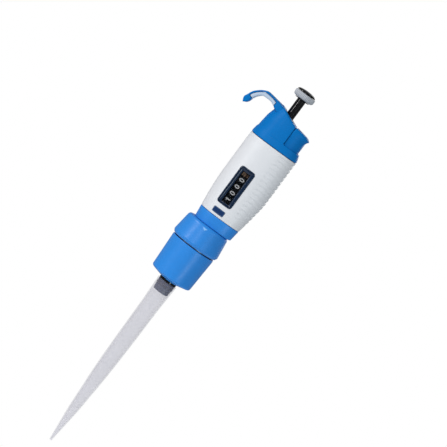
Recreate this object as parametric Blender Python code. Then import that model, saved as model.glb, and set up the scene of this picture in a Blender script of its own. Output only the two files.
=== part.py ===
"""Adjustable 1-10 mL air-displacement pipette with its disposable tip fitted.

Metres, +Z up. The plunger slides and the knob turns about the Z axis. The hook reaches
towards -X, the palm side and the tip ejector are towards +X, and the volume window
faces -Y. The origin is on the plunger axis, level with the flat underside of the hook,
where the pipette hangs on a stand. Heights in this file are millimetres above the open
end of the tip, and at() turns one into a Z coordinate.
"""

import math

import bmesh
import bpy

MM = 0.001
HANG_HEIGHT = 343.6  # the hook's flat underside
GAP = 0.3  # between neighbouring pieces
OUTER_SIDES = 36  # sides of the large round pieces
INNER_SIDES = 16  # sides of the small and hidden round pieces

# Liquid end: 12 mm of stroke in this bore draws 10 mL, and 1.3 mm more blows it out.
STROKE = 12.0
BLOW_OUT = 1.3
BORE_R = math.sqrt(10000 / (math.pi * STROKE))
CYLINDER_R = BORE_R + 1.2
CYLINDER_BOTTOM = 175.0
CYLINDER_FLOOR = CYLINDER_BOTTOM + 3.0
CYLINDER_TOP = 206.0
PISTON_BOTTOM = CYLINDER_FLOOR + STROKE + BLOW_OUT + 0.7
PISTON_TOP = PISTON_BOTTOM + 8.0
PISTON_ROD_R = 4.0
PISTON_ROD_TOP = 240.0
TIP_MOUTH = 168.3
TIP_WALL = 0.8

# Ejector: the sleeve round the cylinder slides down and pushes the tip's rim.
SLEEVE_BOTTOM = 170.3
SLEEVE_TOP = 205.7
SLEEVE_HOLE_R = 8.5
SLEEVE_BORE_R = CYLINDER_R + 0.4
EJECTOR_ROD_X = 16.9
EJECTOR_ROD_R = 1.4
EJECTOR_TRAVEL = 10.0
SPRING_FOOT = 289.3  # the ejector spring stands on its guide

# Springs and stops above the cylinder.
HEAD_TOP = 209.3
WASHER_BOTTOM = 214.8
WASHER_TOP = 216.3
SEAT_BOTTOM = WASHER_TOP + STROKE + GAP
SEAT_TOP = SEAT_BOTTOM + 2.4
CHAMBER_R = 12.9

# Volume counter: four digit drums on a hollow shaft round the operating rod.
DRUM_R = 12.2
DRUM_HEIGHT = 6.3
DRUM_PITCH = 6.67
LOWEST_DRUM = 255.9
DRUM_SHAFT_R = 6.2
CAGE_R = 13.8
CAGE_BASE = (248.7, 251.2)
CAGE_TOP = (284.2, 286.4)
GEAR_BOTTOM = 279.4
PINION_R = 1.6
PINION_ANGLE = math.radians(50)
PINION_TEETH = 8
WINDOW = (6.8, 250.3, 286.6)  # half width, bottom and top
COVER = (5.4, 241.2, 245.8)
SCREW_HEIGHT = 243.5  # the calibration screw, behind the cover

# Grip, from the base collar to the top of the cap.
COLLAR_BOTTOM = 228.3
COLLAR_TOP = 238.5
HANDLE_BOTTOM = 238.8
HANDLE_TOP = 313.6
CAP_BOTTOM = 313.9
CAP_LIP = 320.9  # the ejector button stands behind this lip
CAP_TOP = 342.8  # on the plunger axis, where the sloping top crosses it
CAP_SLOPE = 0.4
BUTTON_FRONT = 10.5
BUTTON_BACK = 24.4
BUTTON_HALF_WIDTH = 15.0
BUTTON_SKIRT = 308.5
LEDGE_BOTTOM = CAP_LIP + EJECTOR_TRAVEL + 0.5  # the ledge stops above the lip
ROD_R = 4.0
KNOB_BOTTOM = 359.5
KNOB_R = 9.65
KNOB_TOP = 368.6

# Grip outline: height, reach to the hook side, reach to the palm side, half width.
GRIP = (
    (228.3, 14.8, 22.0, 15.6),
    (238.6, 16.0, 23.3, 16.3),
    (255.0, 17.9, 26.1, 17.0),
    (272.0, 18.9, 27.9, 17.4),
    (314.0, 18.9, 27.9, 17.4),
    (320.9, 18.0, 26.0, 16.8),
    (331.0, 16.2, 24.8, 16.0),
    (342.8, 11.5, 24.0, 15.0),
)
PALM_SQUARENESS = 2.6  # exponent of the palm half's superellipse; 2 is an ellipse

# Hook, from root to tip: outer point, inner point (x, height) and half width.
HOOK = (
    ((-6.0, 344.4), (-8.0, 338.5), 11.5),
    ((-12.0, 347.0), (-13.5, 340.2), 12.0),
    ((-16.5, 347.6), (-17.0, 342.2), 11.8),
    ((-21.0, 348.3), (-21.0, HANG_HEIGHT), 11.3),
    ((-26.5, 348.9), (-26.5, HANG_HEIGHT), 10.8),
    ((-30.5, 347.5), (-28.9, 342.9), 10.4),
    ((-34.4, 344.6), (-31.2, 341.0), 10.0),
    ((-37.6, 341.2), (-33.2, 338.4), 9.6),
    ((-39.7, 336.6), (-34.5, 335.4), 9.2),
    ((-41.0, 333.6), (-35.4, 332.6), 8.8),
    ((-39.5, 329.3), (-36.9, 330.6), 8.2),
)
PAD_ENDS = (1.65, 7.8)  # where the pale pad begins and ends along the hook
SKIN_SHARE = 0.42  # of the hook's thickness that is the blue skin over the pad

BLUE = ((0.07, 0.29, 0.74), 0.32, 0.0)
DEEP_BLUE = ((0.01, 0.19, 0.62), 0.30, 0.0)
NAVY = ((0.01, 0.04, 0.15), 0.35, 0.0)
WHITE = ((0.80, 0.81, 0.84), 0.38, 0.0)
PALE = ((0.62, 0.68, 0.78), 0.55, 0.0)
BLACK = ((0.012, 0.012, 0.014), 0.22, 0.0)
DARK_GREY = ((0.07, 0.08, 0.10), 0.45, 0.0)
GREY = ((0.36, 0.38, 0.42), 0.45, 0.0)
RUBBER = ((0.02, 0.02, 0.02), 0.75, 0.0)
STEEL = ((0.60, 0.60, 0.62), 0.28, 1.0)
BRASS = ((0.66, 0.50, 0.24), 0.35, 1.0)
MILKY = ((0.66, 0.67, 0.70), 0.40, 0.0)
CLEAR = ((0.75, 0.80, 0.84), 0.05, 0.0)
WINDOW_TEAL = ((0.01, 0.05, 0.09), 0.30, 0.0)


def at(height):
    """Z coordinate of a height above the tip's end."""
    return (height - HANG_HEIGHT) * MM


def material(name, look):
    colour, roughness, metallic = look
    made = bpy.data.materials.new(name)
    made.use_nodes = True
    shader = made.node_tree.nodes["Principled BSDF"]
    shader.inputs["Base Color"].default_value = (*colour, 1)
    shader.inputs["Roughness"].default_value = roughness
    shader.inputs["Metallic"].default_value = metallic
    made.diffuse_color = (*colour, 1)
    return made


def finish(name, bm, look, parent=None, place=(0, 0)):
    """Turns a bmesh into a named object at a place (x, y) in millimetres."""
    bmesh.ops.remove_doubles(bm, verts=bm.verts, dist=1e-7)
    bmesh.ops.recalc_face_normals(bm, faces=bm.faces)
    mesh = bpy.data.meshes.new(name)
    bm.to_mesh(mesh)
    bm.free()
    mesh.shade_smooth()
    mesh.set_sharp_from_angle(angle=math.radians(35))
    made = bpy.data.objects.new(name, mesh)
    made.location = (place[0] * MM, place[1] * MM, 0)
    made.parent = parent
    if look:
        mesh.materials.append(material(name, look))
    bpy.context.scene.collection.objects.link(made)
    return made


def turned(name, profile, look, sides=INNER_SIDES, parent=None, place=(0, 0)):
    """A solid of revolution from a closed outline of (radius, height) points."""
    bm = bmesh.new()
    points = [bm.verts.new((r * MM, 0, at(h))) for r, h in profile]
    edges = []
    for i, point in enumerate(points):
        following = (i + 1) % len(points)
        if profile[i][0] or profile[following][0]:
            edges.append(bm.edges.new((point, points[following])))
    bmesh.ops.spin(
        bm,
        geom=points + edges,
        cent=(0, 0, 0),
        axis=(0, 0, 1),
        angle=2 * math.pi,
        steps=sides,
        use_merge=True,
    )
    return finish(name, bm, look, parent, place)


def tube(name, inner, outer, bottom, top, look, sides=INNER_SIDES, parent=None, place=(0, 0)):
    """A plain tube, or a plain rod where inner is 0."""
    outline = ((inner, bottom), (outer, bottom), (outer, top), (inner, top))
    return turned(name, outline, look, sides, parent, place)


def lofted(name, rings, look, parent=None):
    """A closed solid through rings of equally many points, with flat end caps."""
    bm = bmesh.new()
    loops = [[bm.verts.new((x * MM, y * MM, at(h))) for x, y, h in ring] for ring in rings]
    for low, high in zip(loops, loops[1:]):
        for i in range(len(low)):
            k = (i + 1) % len(low)
            bm.faces.new((low[i], low[k], high[k], high[i]))
    bm.faces.new(loops[0])
    bm.faces.new(loops[-1])
    return finish(name, bm, look, parent)


def box(name, low, high, look=None, parent=None):
    """A block between two corners given as (x, y, height)."""
    corners = ((low[0], low[1]), (high[0], low[1]), (high[0], high[1]), (low[0], high[1]))
    rings = [[(x, y, h) for x, y in corners] for h in (low[2], high[2])]
    return lofted(name, rings, look, parent)


def gear(name, inner, root, tip, teeth, bottom, top, look, parent=None, place=(0, 0)):
    """A wheel with straight teeth and a round bore."""
    bm = bmesh.new()
    loops = []
    for h in (bottom, top):
        rim, bore = [], []
        for k in range(4 * teeth):
            angle = 2 * math.pi * k / (4 * teeth)
            radius = tip if k % 4 in (1, 2) else root
            x, y = math.cos(angle), math.sin(angle)
            rim.append(bm.verts.new((radius * x * MM, radius * y * MM, at(h))))
            bore.append(bm.verts.new((inner * x * MM, inner * y * MM, at(h))))
        loops += [rim, bore]
    for a, b in ((0, 2), (2, 3), (3, 1), (1, 0)):
        for i in range(4 * teeth):
            k = (i + 1) % (4 * teeth)
            bm.faces.new((loops[a][i], loops[a][k], loops[b][k], loops[b][i]))
    return finish(name, bm, look, parent, place)


def coil(name, radius, wire_r, bottom, top, turns, look, parent=None, place=(0, 0)):
    """A compression spring of round wire between two heights."""
    steps, around = 10, 4
    low, high = bottom + wire_r, top - wire_r
    bm = bmesh.new()
    rings = []
    for i in range(int(turns * steps) + 1):
        share = i / int(turns * steps)
        angle = 2 * math.pi * turns * share
        middle = low + (high - low) * share
        ring = []
        for k in range(around):
            turn = 2 * math.pi * k / around
            r = radius + wire_r * math.cos(turn)
            z = middle + wire_r * math.sin(turn)
            ring.append(bm.verts.new((r * math.cos(angle) * MM, r * math.sin(angle) * MM, at(z))))
        rings.append(ring)
    for first, second in zip(rings, rings[1:]):
        for k in range(around):
            n = (k + 1) % around
            bm.faces.new((first[k], first[n], second[n], second[k]))
    bm.faces.new(rings[0])
    bm.faces.new(rings[-1])
    return finish(name, bm, look, parent, place)


def boolean(target, other, operation="DIFFERENCE"):
    """Adds a Boolean with a helper, which is hidden from renders."""
    other.hide_render = True
    other.display_type = "WIRE"
    modifier = target.modifiers.new(other.name, "BOOLEAN")
    modifier.operation = operation
    modifier.solver = "EXACT"
    modifier.object = other


def cut(target, *cutters):
    for cutter in cutters:
        boolean(target, cutter)


def join(target, *pieces):
    for piece in pieces:
        boolean(target, piece, "UNION")


def grip_at(height):
    """Front reach, back reach and half width of the grip at a height."""
    if height <= GRIP[0][0]:
        return GRIP[0][1:]
    for low, high in zip(GRIP, GRIP[1:]):
        if height <= high[0]:
            share = (height - low[0]) / (high[0] - low[0])
            return tuple(a + (b - a) * share for a, b in zip(low[1:], high[1:]))
    return GRIP[-1][1:]


def half_width_at(x, height):
    """Half the grip's width at a distance x from the plunger axis."""
    front, back, width = grip_at(height)
    if x < 0:
        return width * math.sqrt(1 - (x / front) ** 2)
    return width * (1 - (x / back) ** PALM_SQUARENESS) ** (1 / PALM_SQUARENESS)


def grip_ring(height, inset=0.0, slope=0.0, sides=OUTER_SIDES):
    """The grip's outline at a height, moved inwards by inset, tilted by slope."""
    front, back, width = (value - inset for value in grip_at(height))
    ring = []
    for k in range(sides):
        angle = 2 * math.pi * (k + 0.5) / sides
        c, s = math.cos(angle), math.sin(angle)
        if c < 0:
            x, y = front * c, width * s
        else:
            power = 2 / PALM_SQUARENESS
            x, y = back * c**power, width * math.copysign(abs(s) ** power, s)
        ring.append((x, y, height - slope * x))
    return ring


def circle(sides):
    """Cosine and sine of equal steps round a circle."""
    turns = (2 * math.pi * k / sides for k in range(sides))
    return [(math.cos(turn), math.sin(turn)) for turn in turns]


def rounded_rectangle(half_width, low, high, corner, per_corner=4):
    """(x, height) points round a rectangle with rounded corners."""
    points = []
    for quarter, (sx, edge) in enumerate(((1, high), (-1, high), (-1, low), (1, low))):
        inward = -corner if edge == high else corner
        for k in range(per_corner):
            angle = math.pi / 2 * (quarter + k / (per_corner - 1))
            x = sx * (half_width - corner) + corner * math.cos(angle)
            points.append((x, edge + inward + corner * math.sin(angle)))
    return points


def y_face(x, height):
    """Y of the grip's window side, which is negative."""
    return -half_width_at(x, height)


def window_ring(name, outer, inner, proud, deep, look):
    """A frame that follows the grip's curve: proud of it, and deep into it, in mm."""
    bm = bmesh.new()
    loops = []
    for outline, out in ((outer, proud), (outer, -deep), (inner, -deep), (inner, proud)):
        loop = [(x, y_face(x, h) - out, h) for x, h in outline]
        loops.append([bm.verts.new((x * MM, y * MM, at(h))) for x, y, h in loop])
    for a, b in zip(loops, loops[1:] + loops[:1]):
        for i in range(len(a)):
            k = (i + 1) % len(a)
            bm.faces.new((a[i], a[k], b[k], b[i]))
    return finish(name, bm, look)


def prism_along_y(name, outline, y0, y1, look=None):
    """An (x, height) outline extruded along Y."""
    bm = bmesh.new()
    near = [bm.verts.new((x * MM, y0 * MM, at(h))) for x, h in outline]
    far = [bm.verts.new((x * MM, y1 * MM, at(h))) for x, h in outline]
    for i in range(len(near)):
        k = (i + 1) % len(near)
        bm.faces.new((near[i], near[k], far[k], far[i]))
    bm.faces.new(near)
    bm.faces.new(far)
    return finish(name, bm, look)


def rod_along_y(name, radius, y0, y1, height, look=None):
    outline = [(radius * c, height + radius * s) for c, s in circle(14)]
    return prism_along_y(name, outline, y0, y1, look)


def hook_at(position):
    """Outer point, inner point and half width at a position along the hook."""
    i = min(int(position), len(HOOK) - 2)
    share = position - i
    (a_out, a_in, a_w), (b_out, b_in, b_w) = HOOK[i], HOOK[i + 1]
    outer = tuple(a + (b - a) * share for a, b in zip(a_out, b_out))
    inner = tuple(a + (b - a) * share for a, b in zip(a_in, b_in))
    return outer, inner, a_w + (b_w - a_w) * share


def hook_blade(name, stations, look=None):
    """A blade along the hook; each station is (position, near share, far share)."""
    chamfer = 0.7
    rings = []
    for position, near, far in stations:
        outer, inner, width = hook_at(position)
        span = math.dist(outer, inner)
        edge = min(chamfer / span, 0.3 * (far - near))
        ring = []
        for share, y in (
            (near + edge, width),
            (near, width - chamfer),
            (near, chamfer - width),
            (near + edge, -width),
            (far - edge, -width),
            (far, chamfer - width),
            (far, width - chamfer),
            (far - edge, width),
        ):
            x, h = (a + (b - a) * share for a, b in zip(outer, inner))
            ring.append((x, y, h))
        rings.append(ring)
    return lofted(name, rings, look)


def empty(name, place=(0, 0)):
    made = bpy.data.objects.new(name, None)
    made.location = (place[0] * MM, place[1] * MM, 0)
    bpy.context.scene.collection.objects.link(made)
    return made


def make_tip():
    """A thin cone with a flared mouth, open at both ends."""
    outside = (
        (1.2, 0), (2.7, 17), (4.4, 34.5), (5.4, 51), (6.5, 69), (7.2, 90),
        (7.75, 115), (8.05, 142), (8.5, 157.3), (9.25, TIP_MOUTH),
    )
    inside = [(r - TIP_WALL, h) for r, h in reversed(outside[1:])]
    turned("tip", (*outside, *inside, (0.6, 0)), MILKY, 24, parent=empty("tip_slide"))


def make_nozzle():
    """The cone that the tip is pushed on, with its O-ring, filter and shoulder ring."""
    turned(
        "nozzle_cone",
        (
            (3.0, 163.0), (4.6, 163.0), (4.6, 157.8), (6.5, 157.8), (7.05, 158.4),
            (7.3, 163.2), (6.3, 163.4), (6.3, 165.2), (7.6, 165.4), (7.9, 167.4),
            (6.4, 167.4), (6.4, CYLINDER_FLOOR - GAP), (3.0, CYLINDER_FLOOR - GAP),
        ),
        GREY,
    )
    tube("nozzle_filter", 0, 4.3, 158.3, 162.7, WHITE, 16)
    turned("nozzle_o_ring", [(7.3 + 0.7 * c, 164.3 + 0.7 * s) for c, s in circle(8)], RUBBER)
    turned(
        "nozzle_shoulder",
        ((6.7, 167.7), (7.6, 167.7), (8.1, 168.3), (8.1, 174.7), (6.7, 174.7)),
        BLACK,
    )


def make_cylinder():
    """The cylinder and its head, which the springs stand on."""
    turned(
        "cylinder",
        (
            (6.7, CYLINDER_BOTTOM), (16.3, CYLINDER_BOTTOM), (CYLINDER_R, 176.2),
            (CYLINDER_R, CYLINDER_TOP), (BORE_R, CYLINDER_TOP),
            (BORE_R, CYLINDER_FLOOR), (6.7, CYLINDER_FLOOR),
        ),
        GREY,
        24,
    )
    tube("cylinder_head", 4.4, CYLINDER_R, CYLINDER_TOP + GAP, HEAD_TOP, DARK_GREY, 24)


def make_piston(parent):
    """The piston and its rod, with the seat that both springs' travel is counted from."""
    groove = (PISTON_BOTTOM + 2.6, PISTON_BOTTOM + 5.4)
    turned(
        "piston_head",
        (
            (0, PISTON_BOTTOM), (15.2, PISTON_BOTTOM), (15.9, PISTON_BOTTOM + 0.7),
            (15.9, groove[0]), (13.8, groove[0]), (13.8, groove[1]), (15.9, groove[1]),
            (15.9, PISTON_TOP), (0, PISTON_TOP),
        ),
        WHITE,
        24,
        parent,
    )
    middle = sum(groove) / 2
    turned("piston_seal", [(15.1 + c, middle + s) for c, s in circle(8)], RUBBER, 24, parent)
    tube("piston_rod", 0, PISTON_ROD_R, PISTON_TOP + GAP, PISTON_ROD_TOP, STEEL, parent=parent)
    turned(
        "spring_seat",
        (
            (4.3, SEAT_BOTTOM), (11.6, SEAT_BOTTOM), (12.0, SEAT_BOTTOM + 0.4),
            (12.0, SEAT_TOP), (4.3, SEAT_TOP),
        ),
        DARK_GREY,
        parent=parent,
    )
    clip = tube("retaining_clip", 4.25, 6.4, SEAT_TOP + GAP, SEAT_TOP + 1.2, STEEL, parent=parent)
    cut(clip, box("clip_mouth", (3, -3, SEAT_TOP), (9, 3, SEAT_TOP + 2)))


def make_springs():
    """The return springs, and the floating washer between the plunger's two stages."""
    coil("main_spring", 6.6, 0.5, HEAD_TOP + GAP, SEAT_BOTTOM - GAP, 5, STEEL)
    coil("blow_out_spring", 10.4, 0.6, HEAD_TOP + GAP, WASHER_BOTTOM - GAP, 2.5, STEEL)
    tube("blow_out_washer", 8.2, 12.4, WASHER_BOTTOM, WASHER_TOP, STEEL, parent=empty("blow_out"))
    coil(
        "ejector_spring", 2.6, 0.35, SPRING_FOOT, BUTTON_SKIRT - GAP, 8, STEEL,
        place=(EJECTOR_ROD_X, 0),
    )


def make_sleeve(parent):
    """The blue cup round the cylinder, which is the lower end of the tip ejector."""
    turned(
        "ejector_sleeve",
        (
            (SLEEVE_HOLE_R, SLEEVE_BOTTOM), (17.8, 172.7), (18.9, 173.3), (19.4, 174.3),
            (20.1, 190), (20.8, SLEEVE_TOP - 0.4), (20.5, SLEEVE_TOP),
            (SLEEVE_BORE_R, SLEEVE_TOP), (SLEEVE_BORE_R, 175.9), (16.6, 174.5),
            (SLEEVE_HOLE_R, 172.2),
        ),
        BLUE,
        OUTER_SIDES,
        parent,
    )


def make_carrier(parent):
    """The ring on the sleeve, with the leg that the ejector rod pushes."""
    low, high = SLEEVE_TOP + GAP, 222.5
    carrier = tube("ejector_carrier", SLEEVE_BORE_R, 18.7, low, 210, STEEL, 32, parent)
    leg = box("carrier_leg", (17.95, -3, low + 0.5), (18.6, 3, high))
    lug = box("carrier_lug", (15.2, -2.6, high - 2.6), (18.4, 2.6, high))
    join(carrier, leg, lug)


def make_retaining_ring():
    ring = turned(
        "retaining_ring",
        (
            (19.8, 206.8), (21.0, 206.8), (22.4, 209.1), (21.3, 218), (20.3, 226.1),
            (19.5, 227.5), (18.0, 228.0), (14.5, 228.0), (14.5, 225.9), (18.9, 225.9),
            (19.2, 218), (19.8, 212),
        ),
        BLUE,
        OUTER_SIDES,
    )
    cut(ring, tube("ring_rod_notch", 0, 1.9, 224, 230, None, 12, place=(EJECTOR_ROD_X, 0)))


def make_base_collar():
    """The blue collar under the grip, with the tube that holds the springs."""
    collar = lofted(
        "base_collar", [grip_ring(COLLAR_BOTTOM), grip_ring(COLLAR_TOP)], BLUE
    )
    join(collar, tube("spring_tube", 0, 14.2, HEAD_TOP + GAP, COLLAR_BOTTOM + 2, None, 32))
    cut(
        collar,
        tube("spring_chamber", 0, CHAMBER_R, 205, 242, None, 28),
        tube("collar_rod_hole", 0, 1.8, 226, 242, None, 12, place=(EJECTOR_ROD_X, 0)),
    )


def make_handle():
    """The white grip shell, open at both ends, with the window and the cover recess."""
    heights = (HANDLE_BOTTOM, 255, 272, HANDLE_TOP)
    wall = 2.0
    shell = lofted("handle_shell", [grip_ring(h) for h in heights], WHITE)
    inside = [grip_ring(HANDLE_BOTTOM, wall)] + [grip_ring(h, wall) for h in heights[1:-1]]
    inside += [grip_ring(HANDLE_TOP, wall)]
    low = [(x, y, HANDLE_BOTTOM - 2) for x, y, _ in inside[0]]
    high = [(x, y, HANDLE_TOP + 2) for x, y, _ in inside[-1]]
    hollow = lofted("handle_hollow", [low, *inside, high], None)
    clear = GAP
    half, bottom, top = WINDOW
    opening = rounded_rectangle(half + clear, bottom - clear, top + clear, 2.6)
    window = prism_along_y("window_opening", opening, -22, -8)
    half, bottom, top = COVER
    recess = prism_along_y(
        "cover_recess",
        rounded_rectangle(half + clear, bottom - clear, top + clear, 0.9, 3),
        -22,
        1.3 + y_face(0, (bottom + top) / 2),
    )
    screw_hole = rod_along_y("calibration_hole", 2.4, -18, -10, SCREW_HEIGHT)
    cut(shell, hollow, window, recess, screw_hole)


def make_window():
    """The window frame and pane, and the navy cover over the calibration screw below."""
    half, bottom, top = WINDOW
    outer = rounded_rectangle(half, bottom, top, 2.4)
    inner = rounded_rectangle(half - 1.3, bottom + 1.3, top - 1.3, 1.2)
    window_ring("window_frame", outer, inner, 0.35, 2.0, WINDOW_TEAL)
    pane = rounded_rectangle(half - 1.6, bottom + 1.6, top - 1.6, 1.0, 3)
    prism_along_y("window_lens", pane, -15.6, -14.9, CLEAR)
    half, bottom, top = COVER
    cover = lofted("calibration_cover", [grip_ring(h, -0.2) for h in (bottom, top)], NAVY)
    plate = rounded_rectangle(half, bottom, top, 0.8, 3)
    boolean(cover, prism_along_y("cover_plate", plate, -20, y_face(0, bottom) + 1.0), "INTERSECT")
    screw = rod_along_y("calibration_screw", 2.0, -14.6, -12.9, SCREW_HEIGHT, BRASS)
    slot = ((-3, -16, SCREW_HEIGHT - 0.4), (3, -14.0, SCREW_HEIGHT + 0.4))
    cut(screw, box("screw_slot", *slot))


def make_counter():
    """The digit drums on their shaft, in a cage with two discs and three pillars."""
    cage = tube("counter_cage", DRUM_SHAFT_R + GAP, CAGE_R, *CAGE_BASE, DARK_GREY, 28)
    join(cage, tube("cage_top", DRUM_SHAFT_R + GAP, CAGE_R, *CAGE_TOP, None, 28))
    low, high = CAGE_BASE[0] + 1, CAGE_TOP[1] - 1
    for k, degrees in enumerate((0, 110, 190)):
        angle = math.radians(degrees)
        place = (13.3 * math.cos(angle), 13.3 * math.sin(angle))
        join(cage, tube(f"cage_pillar_{k}", 0, 0.75, low, high, None, 8, place=place))
    shaft_bore = ROD_R + 0.9
    tube("drum_shaft", shaft_bore, DRUM_SHAFT_R, CAGE_BASE[0], GEAR_BOTTOM - GAP, STEEL)
    gear(
        "counter_drive_gear", shaft_bore, 9.4, 10.4, 12, GEAR_BOTTOM, GEAR_BOTTOM + 3.3, BRASS,
        empty("counter_drive"),
    )
    for k, digit in enumerate(("tens", "units", "tenths", "hundredths")):
        make_drum(f"drum_{digit}", LOWEST_DRUM + k * DRUM_PITCH)
    distance = DRUM_R + GAP + PINION_R
    place = (distance * math.cos(PINION_ANGLE), distance * math.sin(PINION_ANGLE))
    tube("pinion_shaft", 0, 0.6, CAGE_BASE[1] + GAP, CAGE_TOP[0] - GAP, STEEL, 8, place=place)
    for k in range(3):
        middle = LOWEST_DRUM + (k + 0.5) * DRUM_PITCH
        gear(
            f"carry_pinion_{k + 1}", 0.9, 1.2, PINION_R, PINION_TEETH,
            middle - 1.5, middle + 1.5, WHITE, place=place,
        )


def make_drum(name, middle):
    """A digit drum: hub, web and rim."""
    low, high = middle - DRUM_HEIGHT / 2, middle + DRUM_HEIGHT / 2
    hub, rim = DRUM_SHAFT_R + 1.4, DRUM_R - 1.5
    bore = DRUM_SHAFT_R + GAP
    turned(
        name,
        (
            (bore, low), (hub, low), (hub, middle - 0.6), (rim, middle - 0.6), (rim, low),
            (DRUM_R, low), (DRUM_R, high), (rim, high), (rim, middle + 0.6),
            (hub, middle + 0.6), (hub, high), (bore, high),
        ),
        BLACK,
        20,
        empty(name + "_axis"),
    )


def make_volume_stop():
    """The still nut that stands for the plunger's upper stop, inside its threaded bush."""
    tube("threaded_bush", 9.3, 12.6, HANDLE_BOTTOM, CAGE_BASE[0] - GAP, BRASS)
    tube("volume_stop_nut", 4.4, 9.0, 243.1, 247.2, STEEL)


def make_plunger_knob(parent):
    """The operating rod and the knob that both presses it and sets the volume."""
    turned(
        "operating_rod",
        (
            (0, PISTON_ROD_TOP + GAP), (7.0, PISTON_ROD_TOP + GAP), (7.0, 242.8),
            (ROD_R, 242.8), (ROD_R, 363.0), (0, 363.0),
        ),
        BLACK,
        24,
        parent,
    )
    turned(
        "knob_base",
        ((ROD_R + GAP, KNOB_BOTTOM), (6.5, KNOB_BOTTOM), (6.9, 360.1), (ROD_R + GAP, 360.1)),
        BLACK,
        parent=parent,
    )
    ring = turned(
        "knob_ring",
        (
            (ROD_R + GAP, 360.4), (7.6, 360.4), (8.9, 361.0), (KNOB_R, 362.2),
            (KNOB_R, 365.8), (9.3, 366.3), (ROD_R + GAP, 366.3),
        ),
        GREY,
        24,
        parent,
    )
    cut(ring, tube("knob_cap_socket", 0, 6.0, 363.3, 370, None, 20))
    turned(
        "knob_cap",
        (
            (0, 363.6), (5.7, 363.6), (5.7, 366.6), (8.6, 366.6), (8.2, 367.5),
            (5.4, 368.4), (0, KNOB_TOP),
        ),
        BLACK,
        parent=parent,
    )


def cap_top_height(x):
    return CAP_TOP - CAP_SLOPE * x


def make_cap():
    """The blue cap with the hook: hollow, with a sloping top and a bay for the ejector."""
    rings = [
        grip_ring(CAP_BOTTOM), grip_ring(CAP_BOTTOM + 3), grip_ring(CAP_LIP),
        grip_ring(331, 0, 0.15), grip_ring(338, 0, 0.3), grip_ring(CAP_TOP - 1, 0, CAP_SLOPE),
        grip_ring(CAP_TOP, 1.2, CAP_SLOPE),
    ]
    wall = 1.5
    cap = lofted("top_cap", rings, DEEP_BLUE)
    mouth = [(x, y, CAP_BOTTOM - 3) for x, y, _ in grip_ring(CAP_BOTTOM, wall)]
    lower = [mouth] + [grip_ring(h, wall) for h in (CAP_BOTTOM + 0.1, CAP_LIP + 0.4)]
    lower_hollow = lofted("cap_lower_hollow", lower, None)
    upper = grip_ring(CAP_LIP - 2, wall + 0.4)
    ceiling = grip_ring(CAP_TOP - 3.5, wall + 2.0, CAP_SLOPE)
    upper_hollow = lofted("cap_upper_hollow", [upper, ceiling], None)
    cut(upper_hollow, box("cap_web", (7.6, -30, CAP_LIP - 9), (60, 30, 360)))
    bay = box("ejector_bay", (BUTTON_FRONT - GAP, -30, CAP_LIP), (60, 30, 360))
    stations = [(0, 0, 1), (1, 0, 1), (PAD_ENDS[0], 0, 1), (PAD_ENDS[0] + 0.04, 0, SKIN_SHARE)]
    stations += [(k, 0, SKIN_SHARE) for k in range(2, 8)]
    stations += [(PAD_ENDS[1] - 0.04, 0, SKIN_SHARE), (PAD_ENDS[1], 0, 1)]
    stations += [(k, 0, 1) for k in (8, 9, 10)]
    boss = [
        [(8.4 * c, 8.4 * s, h - slope * 8.4 * c) for c, s in circle(24)]
        for h, slope in ((CAP_LIP + 4, 0), (CAP_TOP - 1.6, CAP_SLOPE))
    ]
    cut(cap, lower_hollow, upper_hollow)
    join(cap, hook_blade("hook_blade", stations), lofted("guide_boss", boss, None))
    cut(cap, bay, tube("guide_bore", 0, 6.5, 310, 356, None, 24))
    first, last = PAD_ENDS
    spots = (first + 0.1, 2, 3, 4, 5, 6, 7, last - 0.1)
    pad = [(k, SKIN_SHARE + 0.07, 1) for k in spots]
    hook_blade("hook_pad", pad, PALE)
    bush = tube("rod_guide_bush", ROD_R + 0.2, 6.2, 325, 350, BLACK, 24)
    lid = lofted(
        "bush_trim",
        [
            [(x, y, cap_top_height(x) + rise) for x, y in ((-9, -9), (9, -9), (9, 9), (-9, 9))]
            for rise in (0.4, 30)
        ],
        None,
    )
    cut(bush, lid)


def button_ring(height, back, inset=0.0, slope=0.0):
    """The ejector button's outline: flat in front, and the grip's curve towards the palm."""
    sides = 20
    power = 2 / PALM_SQUARENESS
    front, back, half = BUTTON_FRONT + inset, back - inset, BUTTON_HALF_WIDTH - inset
    widest = math.acos((front / back) ** (1 / power))
    ring = []
    for k in range(sides + 1):
        angle = widest * (2 * k / sides - 1)
        x = back * math.cos(angle) ** power
        y = half * math.copysign(abs(math.sin(angle)) ** power, angle)
        ring.append((x, y, height - slope * (x - front)))
    return ring


def make_ejector(parent):
    """The button with its thumb ledge, the rod below it and the bracket that guides the rod."""
    rings = [
        button_ring(BUTTON_SKIRT, BUTTON_BACK), button_ring(LEDGE_BOTTOM, BUTTON_BACK),
        button_ring(333.4, 25.4), button_ring(335.0, 26.3, 0, 0.06),
        button_ring(336.6, 26.3, 0.2, 0.11), button_ring(338.6, 24.6, 0.8, 0.16),
    ]
    button = lofted("ejector_button", rings, DEEP_BLUE, parent)
    hollow = [button_ring(h, BUTTON_BACK, 1.8) for h in (BUTTON_SKIRT - 1, 330)]
    cut(button, lofted("button_hollow", hollow, None))
    place = (EJECTOR_ROD_X, 0)
    join(button, tube("button_boss", 0, 3.4, BUTTON_SKIRT, 331, None, 16, place=place))
    tube(
        "ejector_rod", 0, EJECTOR_ROD_R, 222.8, BUTTON_SKIRT - GAP, STEEL, 12, parent, place
    )
    low, high = (11.0, -6.5, CAGE_TOP[1] + 0.4), (24.5, 6.5, SPRING_FOOT - GAP)
    guide = box("ejector_guide", low, high, DARK_GREY)
    cut(guide, tube("guide_hole", 0, 1.7, 284, 292, None, 12, place=place))


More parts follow.
